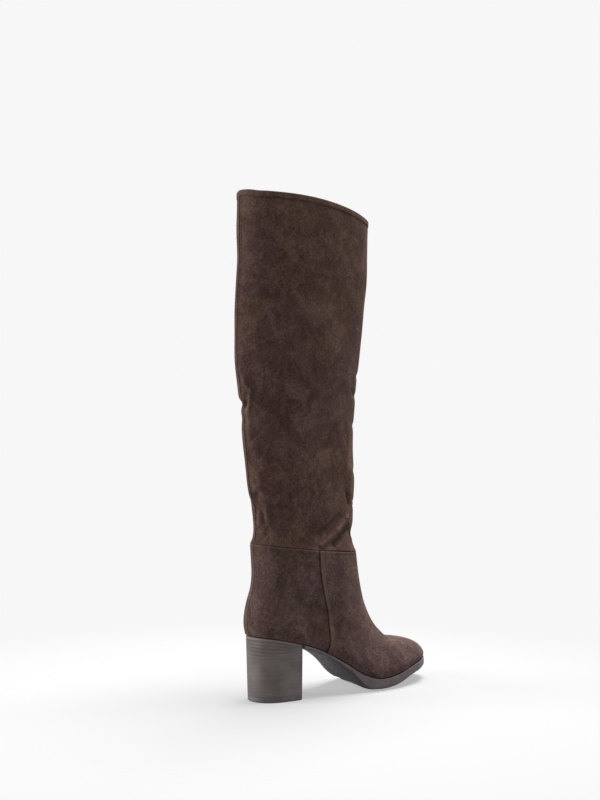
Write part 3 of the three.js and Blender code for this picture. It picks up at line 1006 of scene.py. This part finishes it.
def arc_from(points, even, place_on_row):
    """Distance round each row of a grid, measured from one place on the row."""
    steps = np.linalg.norm(np.diff(points, axis=1), axis=-1)
    arc = np.concatenate([np.zeros((len(points), 1)), np.cumsum(steps, axis=1)], axis=1)
    start = np.array([np.interp(place_on_row, even[0], row) for row in arc])
    return arc - start[:, None]


def side_seam_relief(foot, ahead):
    """The front piece laps over the back one: a sunk seam line, painted dark as shade, then a
    doubled edge whose raised rim is painted pale as a highlight.
    """
    width = foot.lap_width / MM
    doubled = 1 - 0.55 * smooth_step(width, width + 2.2, ahead)
    fading = 1 - smooth_step(width + 1.0, width + 14.0, ahead)
    lap = foot.lap / MM * smooth_step(0.15, 0.9, ahead) * doubled * fading
    # a raised line at the doubled edge, which the relief also paints pale, as a highlight
    lip_highlight = 0.40 * bump(ahead - 1.0, 0.6)
    return lap + lip_highlight - foot.seam_depth / MM * bump(ahead + 0.1, 0.5)


def beside_back(points, turn):
    """Distance sideways from the back seam, and far off everywhere else."""
    return np.where(np.abs(wrap_turn(turn)) < 0.1, np.abs(points[..., 1]), 1000.0)


def foot_relief(foot, points, even, turn):
    """Soft folds and fine seams of the foot part."""
    folds = fold_relief(
        FOOT_FOLDS, points, lambda turns, rises: foot_surface(rises, turns), "from_rise", "to_rise"
    )
    beside = beside_back(points, turn)
    soft = folds + FOOT_RIDGE["height"] * np.exp(-beside / FOOT_RIDGE["width"])
    fine = back_seam(beside)
    fine += side_seam_relief(foot, arc_from(points, even, 0.25)) * (turn < 0.5)
    fine += side_seam_relief(foot, -arc_from(points, even, 0.75)) * (turn > 0.5)
    return soft, fine


class BOOT_OT_foot(bpy.types.Operator):
    """Make the foot part: ankle-high suede with its side seams, back seam and top edge"""

    bl_idname = "boot.foot"
    bl_label = "Foot part"

    def execute(self, context):
        scene = context.scene
        foot = scene.boot_foot
        rise, even, turn = foot_grid()
        base = foot_surface(rise, turn)
        normals = surface_normals(base)
        soft, fine = foot_relief(foot, base, even, turn)
        above_sole = base[..., 2] - seat_height(base[..., 0], base[..., 1])
        below_edge = base[-1:, :, 2] - base[..., 2]
        # the suede turns in at the sole, its cut top edge is round, and stitches dent it
        tuck = -foot.feather / MM * (1 - smooth_step(0.0, 2.4, above_sole)) ** 1.5
        edge = -0.5 * (1 - smooth_step(0.0, 1.0, below_edge)) ** 2
        dent = -0.25 * bump(below_edge - foot.stitch_row / MM, 0.6)
        outer = base + normals * (soft + fine + tuck + edge + dent)[..., None]
        outer[0, :, 2] = base[0, :, 2]
        pick = np.linspace(FOOT_ROWS - 1, 0, FOOT_INNER_ROWS).round().astype(int)
        inner = (base + normals * (0.5 * soft - foot.wall / MM)[..., None])[pick]
        # the lining goes from just under the top edge down to the feather line
        inner[0, :, 2] = base[-1, :, 2] - 0.15
        inner[-1, :, 2] = seat_height(inner[-1, :, 0], inner[-1, :, 1])
        rings = np.concatenate([outer, inner])
        relief = np.zeros(rings.shape[:2])
        # the rounded top edge, the back ridge and fold crests are painted paler, as highlight and
        # rubbing, and fold troughs dark, as shade
        top_edge_highlight_and_rub = 0.55 * bump(below_edge - 0.7, 0.8)
        painted_light_and_wear = scene.boot_leg.shading_and_wear * crests(soft)
        painted_light_and_wear += FOOT_RIDGE["shading_and_wear"] * np.exp(-beside_back(base, turn) / FOOT_RIDGE["width"])
        # the turn-in at the sole and the stitch dents are painted dark, as shade, along with the
        # seams
        relief[:FOOT_ROWS] = fine + 0.5 * tuck + dent + painted_light_and_wear + top_edge_highlight_and_rub
        materials = [
            suede_material("suede_foot", scene.boot_suede),
            bpy.data.materials["lining_leather"],
        ]
        obj = sleeve("foot_part", rings, FOOT_ROWS, materials, relief)
        place(obj, "suede_foot", "upper")
        return {"FINISHED"}


# ---------------------------------------------------------------------------
# Insole, outsole and heel
# ---------------------------------------------------------------------------

# Gap between the upper and what is under it, and between other pieces that are glued.
SEAT_CLEARANCE = 0.1
JOINT_GAP = 0.3
# Heights above the feather line of the insole's underside and of its edge, and how much
# higher its middle is.
INSOLE_BOTTOM = 0.35
INSOLE_SIDE = 2.3
INSOLE_CROWN = 0.65
INSOLE_COLUMNS = 200


class BOOT_OT_insole(bpy.types.Operator):
    """Make the insole: a padded sock with a soft edge"""

    bl_idname = "boot.insole"
    bl_label = "Insole"

    def execute(self, context):
        scene = context.scene
        half_column = 0.5 / INSOLE_COLUMNS
        columns = mix(half_column, 1 - half_column, crowd(INSOLE_COLUMNS, [TOE_COLUMNS]))
        x, y = offset_footprint(columns, -(scene.boot_foot.wall / MM + JOINT_GAP))
        rings = [np.stack([x, y, seat_height(x, y) + INSOLE_BOTTOM], axis=-1)]
        # rings from the edge almost to the middle line, closest together at the edge
        for share in np.linspace(0, 1, 18) ** 1.3 * 0.985:
            ring_x = mix(x, x[::-1], share / 2)
            ring_y = mix(y, y[::-1], share / 2)
            lift = INSOLE_SIDE + INSOLE_CROWN * (1 - (1 - min(share * 3, 1)) ** 2)
            rings.append(np.stack([ring_x, ring_y, seat_height(ring_x, ring_y) + lift], axis=-1))
        material = leather_material("sock_leather", scene.boot_lining, 1.1, 0.6)
        obj = slab("insole_sock", np.array(rings), material)
        place(obj, "insole", "insole")
        return {"FINISHED"}


# The outsole's edge from its flat bottom outwards: distance in from the edge, and lift as
# a share of the height at which the upright side begins.
SOLE_EDGE = table("inset lift", [
    (12.0, 0.0), (10.0, 0.0), (8.0, 0.07), (6.0, 0.20), (4.0, 0.38), (2.4, 0.57),
    (1.3, 0.73), (0.75, 0.80), (0.35, 0.87), (0.10, 0.94), (0.0, 1.0),
])

# The outsole's top edge: distance in from the side, drop below the top, and how much paler its
# colour is.
SOLE_TOP_EDGE = table("inset drop rubbed", [
    (0.05, 0.30, 0.5), (0.30, 0.05, 1.0), (0.60, 0.0, 0.5), (3.0, 0.0, 0.0),
])

OUTSOLE_COLUMNS = 301
# Where, along X, the curve under the sole's side gets lower towards the toe, and by what
# share.
TOE_REGION = (140.0, 195.0)
TOE_THINNING = 0.75


def outsole_rings(sole):
    """Rings of the outsole, and each one's relief: up to 1 where the top edge is paler, -1 where
    the underside and its rounded edge are painted dark, as shade.
    """
    start_x = BREAST_X + JOINT_GAP
    start = turn_at_x(start_x, 0)
    end = turn_at_x(start_x, 1)
    turn = mix(start, end, crowd(OUTSOLE_COLUMNS, [TOE_COLUMNS]))
    margin = sole.margin / MM
    side_lift = sole.side_lift / MM

    def ring(inset, height_at):
        x, y = offset_footprint(turn, margin - inset)
        x = np.maximum(x, start_x)
        return np.stack([x, y, height_at(x, y)], axis=-1)

    def top(x, y):
        return seat_height(x, y) - SEAT_CLEARANCE

    def lifted(share):
        def height_at(x, y):
            bottom = underside_height(x, y)
            lift = side_lift * (1 - TOE_THINNING * smooth_step(*TOE_REGION, x))
            return bottom + share * np.minimum(lift, 0.45 * (top(x, y) - bottom))
        return height_at

    rings, relief = [], []
    for inset, lift in zip(*SOLE_EDGE.values()):
        rings.append(ring(inset, lifted(lift)))
        # the underside and its rounded edge are painted dark, as shade
        relief.append(-1.0 if lift < 0.75 else 0.0)
    for share in (0.3, 0.6, 0.85):
        rings.append(ring(0, lambda x, y, share=share: mix(lifted(1)(x, y), top(x, y), share)))
        relief.append(0.0)
    for inset, drop, rubbed in zip(*SOLE_TOP_EDGE.values()):
        rings.append(ring(inset, lambda x, y, drop=drop: top(x, y) - drop))
        relief.append(rubbed)
    relief = np.repeat(np.array(relief)[:, None], len(turn), axis=1)
    return np.array(rings), relief


class BOOT_OT_outsole(bpy.types.Operator):
    """Make the outsole: thin rubber with an upright side and a curved-up bottom"""

    bl_idname = "boot.outsole"
    bl_label = "Outsole"

    def execute(self, context):
        sole = context.scene.boot_sole
        rings, relief = outsole_rings(sole)
        obj = slab("outsole_rubber", rings, rubber_material(sole), relief)
        keep_edges(obj, 40)
        place(obj, "outsole", "outsole")
        return {"FINISHED"}


HEEL_COLUMNS = 240
HEEL_ROWS = 230
# How strong the stack's lines are low down and towards the breast, 1 where plainest.
LOW_LINES = 0.2
BREAST_LINES = 0.4


def heel_outline(z, corner):
    """Level outline of the heel: a round back and a flat breast with round corners."""
    start = turn_at_x(BREAST_X, 1) - 1
    end = turn_at_x(BREAST_X, 0)
    x, y = footprint(mix(start, end, crowd(HEEL_COLUMNS, [(0.0, 0.02, 6.0), (1.0, 0.02, 6.0)])))
    drop = np.clip(1 - z / seat_height(0.0), 0, 1)
    x = BREAST_X - (BREAST_X - x) * mix(HEEL_TOP["length"], HEEL_BOTTOM["length"], drop)
    y = y * mix(HEEL_TOP["width"], HEEL_BOTTOM["width"], drop)
    near = np.clip((x - BREAST_X + corner) / corner, 0, 1)
    return x, y - np.sign(y) * corner * (1 - np.sqrt(1 - near**2))


def push_in(x, y, inset):
    """Points of a heel outline moved towards its middle."""
    length_out = np.hypot(x, y)
    return x - x / length_out * inset, y - y / length_out * inset


def heel_rings(heel):
    """Rings of the heel block, with a fine line between the layers of its stack."""
    bottom = heel.top_piece / MM + 0.08
    layer = heel.layer / MM
    rand_height = heel.rand_height / MM
    rings, relief = [], []
    for share in crowd(HEEL_ROWS, [(0.0, 0.01, 3.0), (1.0, 0.01, 3.0)]):
        x, y = heel_outline(mix(bottom, seat_height(0.0), share), heel.corner / MM)
        top = seat_height(x) - SEAT_CLEARANCE
        z = mix(bottom, top, share)
        lean = smooth_step(0.5, 1.0, share) * (seat_height(x) - seat_height(0.0))
        stacked = (z - lean - bottom) / layer
        from_line = np.abs(stacked - np.round(stacked)) * layer
        under_seat = top - z
        in_stack = under_seat > rand_height + 1.0
        line = np.where(in_stack, bump(from_line, 0.28), 0)
        line = np.maximum(line, bump(under_seat - rand_height, 0.3))
        ends = 0.25 * (1 - smooth_step(0.0, 0.6, np.minimum(z - bottom, under_seat)))
        plain = mix(LOW_LINES, 1, smooth_step(34.0, 60.0, z))
        plain = plain * mix(1, BREAST_LINES, smooth_step(-14.0, 10.0, x))
        line = np.where(in_stack, line * plain, line)
        x, y = push_in(x, y, heel.line_depth / MM * line + ends)
        rings.append(np.stack([x, y, z], axis=-1))
        rand = 1 - smooth_step(-0.3, 0.2, under_seat - rand_height)
        relief.append(rand - line)
    return np.array(rings), np.array(relief)


class BOOT_OT_heel(bpy.types.Operator):
    """Make the block heel with the fine level lines of its stack"""

    bl_idname = "boot.heel"
    bl_label = "Heel"

    def execute(self, context):
        heel = context.scene.boot_heel
        rings, relief = heel_rings(heel)
        obj = slab("heel_block", rings, heel_material(heel), relief)
        keep_edges(obj, 40)
        place(obj, "heel", "heel")
        return {"FINISHED"}


# The top piece's side from the floor up: height as a share of its thickness, and
# distance in from the edge.
TOP_PIECE_EDGE = table("rise inset", [
    (0.0, 1.0), (0.024, 0.6), (0.08, 0.25), (0.18, 0.03), (0.32, 0.0), (0.68, 0.0),
    (0.94, 0.0), (0.984, 0.1), (1.0, 0.3),
])


class BOOT_OT_top_piece(bpy.types.Operator):
    """Make the rubber top piece under the heel"""

    bl_idname = "boot.top_piece"
    bl_label = "Top piece"

    def execute(self, context):
        heel = context.scene.boot_heel
        rings = []
        for rise, inset in zip(*TOP_PIECE_EDGE.values()):
            z = rise * heel.top_piece / MM
            x, y = push_in(*heel_outline(z, heel.corner / MM), inset)
            rings.append(np.stack([x, y, np.full_like(x, z)], axis=-1))
        rings = np.array(rings)
        # the bottom edge is painted darker, as shade
        relief = -0.4 * bump(rings[..., 2], 0.8)
        obj = slab("top_piece_rubber", rings, bpy.data.materials["sole_rubber"], relief)
        keep_edges(obj, 50)
        place(obj, "top_piece", "heel_top_piece")
        return {"FINISHED"}


# ---------------------------------------------------------------------------
# Stitches
# ---------------------------------------------------------------------------

def stitch_tree():
    """Geometry Nodes that lay a row of stitches along a path, end to end."""
    tree = bpy.data.node_groups.new("stitch_row", "GeometryNodeTree")
    socket = tree.interface.new_socket
    socket("Path", in_out="INPUT", socket_type="NodeSocketGeometry")
    for name in ("Pitch", "Length", "Thickness"):
        socket(name, in_out="INPUT", socket_type="NodeSocketFloat")
    socket("Thread", in_out="INPUT", socket_type="NodeSocketMaterial")
    socket("Stitches", in_out="OUTPUT", socket_type="NodeSocketGeometry")
    start = add_node(tree, "NodeGroupInput").outputs
    path = add_node(tree, "GeometryNodeMeshToCurve", {"Mesh": start["Path"]})
    points = add_node(tree, "GeometryNodeCurveToPoints", {
        "Curve": path.outputs["Curve"],
        "Length": start["Pitch"],
    }, mode="LENGTH").outputs
    ball = add_node(tree, "GeometryNodeMeshUVSphere", {"Segments": 8, "Rings": 5, "Radius": 0.5})
    size = add_node(tree, "ShaderNodeCombineXYZ", {
        "X": start["Thickness"],
        "Y": start["Thickness"],
        "Z": start["Length"],
    })
    stitch = add_node(tree, "GeometryNodeTransform", {
        "Geometry": ball.outputs["Mesh"],
        "Scale": size.outputs["Vector"],
    })
    along = add_node(tree, "FunctionNodeAlignRotationToVector", {
        "Vector": points["Tangent"],
    }, axis="Z")
    row = add_node(tree, "GeometryNodeInstanceOnPoints", {
        "Points": points["Points"],
        "Instance": stitch.outputs["Geometry"],
        "Rotation": along.outputs["Rotation"],
    })
    solid = add_node(tree, "GeometryNodeRealizeInstances", {"Geometry": row.outputs["Instances"]})
    smooth = add_node(tree, "GeometryNodeSetShadeSmooth", {"Geometry": solid.outputs["Geometry"]})
    done = add_node(tree, "GeometryNodeSetMaterial", {
        "Geometry": smooth.outputs["Geometry"],
        "Material": start["Thread"],
    })
    end = add_node(tree, "NodeGroupOutput")
    tree.links.new(done.outputs["Geometry"], end.inputs["Stitches"])
    return tree


def stitch_row(name, loop, thread, tree, material):
    """Stitches along a closed loop of points in metres, as one plain mesh."""
    guide_mesh = bpy.data.meshes.new(name + "_path")
    edges = [(i, (i + 1) % len(loop)) for i in range(len(loop))]
    guide_mesh.from_pydata(loop.tolist(), edges, [])
    guide = link_object(name + "_path", guide_mesh)
    modifier = guide.modifiers.new("Stitches", "NODES")
    modifier.node_group = tree
    values = {
        "Pitch": thread.pitch,
        "Length": thread.stitch,
        "Thickness": thread.thickness,
        "Thread": material,
    }
    for item in tree.interface.items_tree:
        if item.in_out == "INPUT" and item.name in values:
            modifier[item.identifier] = values[item.name]
    depsgraph = bpy.context.evaluated_depsgraph_get()
    mesh = bpy.data.meshes.new_from_object(guide.evaluated_get(depsgraph))
    mesh.name = name
    bpy.data.objects.remove(guide)
    return link_object(name, mesh)


def outer_points(name, rows, columns):
    """Points of a sleeve's outside, in metres, as rows and columns."""
    mesh = bpy.data.objects[name].data
    flat = np.empty(len(mesh.vertices) * 3)
    mesh.vertices.foreach_get("co", flat)
    return flat.reshape(-1, columns, 3)[:rows]


def ring_below(points, depth):
    """A ring a set depth below the top row of a grid of points."""
    below = points[-1:, :, 2] - points[..., 2]
    ring = []
    for column in range(points.shape[1]):
        order = np.argsort(below[:, column])
        at = below[order, column]
        ring.append([np.interp(depth, at, points[order, column, axis]) for axis in range(3)])
    return np.array(ring)


class BOOT_OT_stitches(bpy.types.Operator):
    """Sew the hem at the collar and the top edge of the foot part"""

    bl_idname = "boot.stitches"
    bl_label = "Stitches"

    def execute(self, context):
        scene = context.scene
        thread = scene.boot_thread
        tree = stitch_tree()
        material = thread_material(thread)
        leg = outer_points("leg", LEG_ROWS, LEG_COLUMNS)
        foot = outer_points("foot_part", FOOT_ROWS, FOOT_COLUMNS)
        under_hem = scene.boot_leg.hem + (HEM_GROOVE - RIM_HEIGHT) * MM
        for name, slot, points, depth in (
            ("hem_stitches", "suede_leg", leg, under_hem),
            ("ankle_stitches", "suede_foot", foot, scene.boot_foot.stitch_row),
        ):
            obj = stitch_row(name, ring_below(points, depth), thread, tree, material)
            place(obj, slot)
        return {"FINISHED"}


# ---------------------------------------------------------------------------
# Stage
# ---------------------------------------------------------------------------

# Over which distances from the heel, in metres, the floor gives way to the surround.
FLOOR_FADE = (0.20, 0.60)


def floor_material(stage):
    """Plain pale paper that lets some of the surround through, and all of it far away."""
    material, tree, shader = new_material("floor_paper", 0.9, specular=0.0)
    shader.inputs["Base Color"].default_value = (*stage.floor, 1)
    position = add_node(tree, "ShaderNodeTexCoord").outputs["Object"]
    away = add_node(tree, "ShaderNodeVectorMath", {0: position}, operation="LENGTH")
    fade = remap(tree, away.outputs["Value"], *FLOOR_FADE, stage.glow, 1.0)
    clear = add_node(tree, "ShaderNodeBsdfTransparent")
    blend = add_node(tree, "ShaderNodeMixShader", {
        "Fac": fade,
        1: shader.outputs["BSDF"],
        2: clear.outputs["BSDF"],
    })
    tree.links.new(blend.outputs["Shader"], tree.nodes["Material Output"].inputs["Surface"])
    return material


# Half the side of the floor in millimetres, and the middle of the boot in metres.
FLOOR_HALF = 1500.0
MIDDLE = Vector((0.05, 0, 0.22))
# Each light's place to the right, ahead and up from the heel as the camera sees it, its
# width and height, all in metres, and its power in watts.
SOFTBOXES = {
    "light_left": (-2.5, -0.1, 0.9, 1.2, 1.8, 84),
    "light_right": (2.4, 0.1, 1.3, 1.2, 1.8, 5),
    "light_top": (0.5, 0.5, 2.9, 1.6, 1.6, 225),
}


def add_softbox(name, place_at, size, power):
    """A soft area light that faces the boot."""
    light = bpy.data.lights.new(name, "AREA")
    light.shape = "RECTANGLE"
    light.size, light.size_y = size
    light.energy = power
    obj = link_object(name, light)
    obj.location = place_at
    obj.rotation_euler = (MIDDLE - place_at).to_track_quat("-Z", "Y").to_euler()


def set_surround(scene, stage):
    """A pale surround that also fills the shadows."""
    world = bpy.data.worlds.new("surround")
    world.use_nodes = True
    tree = world.node_tree
    seen = tree.nodes["Background"]
    seen.inputs["Color"].default_value = (*stage.backdrop, 1)
    fill = add_node(tree, "ShaderNodeBackground", {"Strength": stage.fill})
    fill.inputs["Color"].default_value = (1, 1, 1, 1)
    ray = add_node(tree, "ShaderNodeLightPath")
    blend = add_node(tree, "ShaderNodeMixShader", {
        "Fac": ray.outputs["Is Camera Ray"],
        1: fill.outputs["Background"],
        2: seen.outputs["Background"],
    })
    tree.links.new(blend.outputs["Shader"], tree.nodes["World Output"].inputs["Surface"])
    scene.world = world


class BOOT_OT_stage(bpy.types.Operator):
    """Set the pale floor, the soft lights and the camera"""

    bl_idname = "boot.stage"
    bl_label = "Stage"

    def execute(self, context):
        scene = context.scene
        stage = scene.boot_stage
        ahead = Vector((math.sin(stage.azimuth), math.cos(stage.azimuth), 0))
        right = Vector((math.cos(stage.azimuth), -math.sin(stage.azimuth), 0))
        up = Vector((0, 0, 1))

        corners = FLOOR_HALF * np.array([(-1, -1, 0), (1, -1, 0), (1, 1, 0), (-1, 1, 0)])
        floor = make_piece("floor", corners, [(0, 1, 2, 3)], [floor_material(stage)])

        camera = bpy.data.cameras.new("camera")
        camera.lens = stage.lens
        camera.shift_y = stage.shift
        eye = link_object("camera", camera)
        eye.location = stage.aside * right - stage.distance * ahead + stage.height * up
        eye.rotation_euler = (math.pi / 2, 0, -stage.azimuth)
        scene.camera = eye

        for name, (aside, forward, height, wide, high, power) in SOFTBOXES.items():
            place_at = aside * right + forward * ahead + height * up
            add_softbox(name, place_at, (wide, high), power)
        set_surround(scene, stage)
        scene.view_settings.view_transform = "Standard"
        return {"FINISHED"}


# ---------------------------------------------------------------------------
# Add-on
# ---------------------------------------------------------------------------

OPERATORS = [
    BOOT_OT_leg,
    BOOT_OT_foot,
    BOOT_OT_insole,
    BOOT_OT_outsole,
    BOOT_OT_heel,
    BOOT_OT_top_piece,
    BOOT_OT_stitches,
    BOOT_OT_stage,
]


class BOOT_PT_panel(bpy.types.Panel):
    """Lists the boot's pieces and their settings"""

    bl_idname = "BOOT_PT_panel"
    bl_label = "Knee-High Boot"
    bl_space_type = "VIEW_3D"
    bl_region_type = "UI"
    bl_category = "Boot"

    def draw(self, context):
        for operator in OPERATORS:
            self.layout.operator(operator.bl_idname)
        for name, group in SETTINGS.items():
            box = self.layout.box()
            for key in group.__annotations__:
                box.prop(getattr(context.scene, name), key)


CLASSES = [*SETTINGS.values(), *OPERATORS, BOOT_PT_panel]


def register():
    for cls in CLASSES:
        bpy.utils.register_class(cls)
    for name, group in SETTINGS.items():
        setattr(bpy.types.Scene, name, bpy.props.PointerProperty(type=group))


def unregister():
    for name in SETTINGS:
        delattr(bpy.types.Scene, name)
    for cls in reversed(CLASSES):
        bpy.utils.unregister_class(cls)


def main():
    register()
    for operator in OPERATORS:
        group, name = operator.bl_idname.split(".")
        getattr(getattr(bpy.ops, group), name)()


if __name__ == "__main__":
    main()
